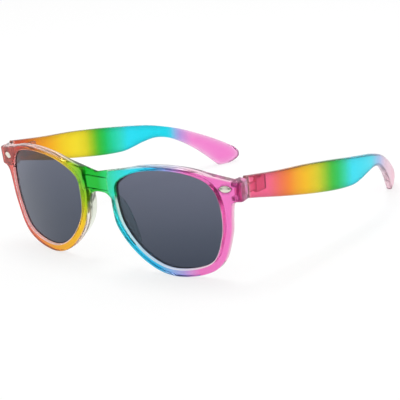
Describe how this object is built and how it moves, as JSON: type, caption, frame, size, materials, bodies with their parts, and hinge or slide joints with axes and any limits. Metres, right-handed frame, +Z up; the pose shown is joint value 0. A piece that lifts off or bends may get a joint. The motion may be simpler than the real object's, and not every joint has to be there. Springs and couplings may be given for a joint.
{
  "type": "sunglasses",
  "caption": "Folding sunglasses: a wrapped moulded front with nose pads, grey lenses, pointed metal studs and two hinged temples that bend down and in behind the ears.",
  "frame": {"origin": "middle of the footprint of the open glasses, on the surface they stand on", "axes": "+Y back along the temples, away from the lenses; +X towards the wearer's left; +Z up"},
  "size_m": [0.143, 0.1674, 0.0508],
  "materials": {
    "front_plastic": "clear polished plastic, tinted through a rainbow from coral to pink",
    "temple_plastic": "clear polished plastic, tinted through a rainbow from pink to lavender",
    "lens": "smooth neutral grey tint, polished",
    "screw_steel": "turned steel with a slotted head",
    "stud_metal": "polished, slightly domed"
  },
  "bodies": {
    "front": {"front_frame": "front_plastic", "lens_left": "lens", "lens_right": "lens", "hinge_screw_left": "screw_steel", "hinge_screw_right": "screw_steel", "stud_left": "stud_metal", "stud_right": "stud_metal"},
    "temple_left": {"temple_left": "temple_plastic"},
    "temple_right": {"temple_right": "temple_plastic"}
  },
  "joints": [
    {"name": "fold_left", "type": "hinge", "parent": "front", "child": "temple_left", "pos_m": [0.0648, -0.0657, 0.04043], "axis": [0, 0, 1], "range_deg": [0, 86]},
    {"name": "fold_right", "type": "hinge", "parent": "front", "child": "temple_right", "pos_m": [-0.0648, -0.0657, 0.04043], "axis": [0, 0, -1], "range_deg": [0, 74]}
  ]
}
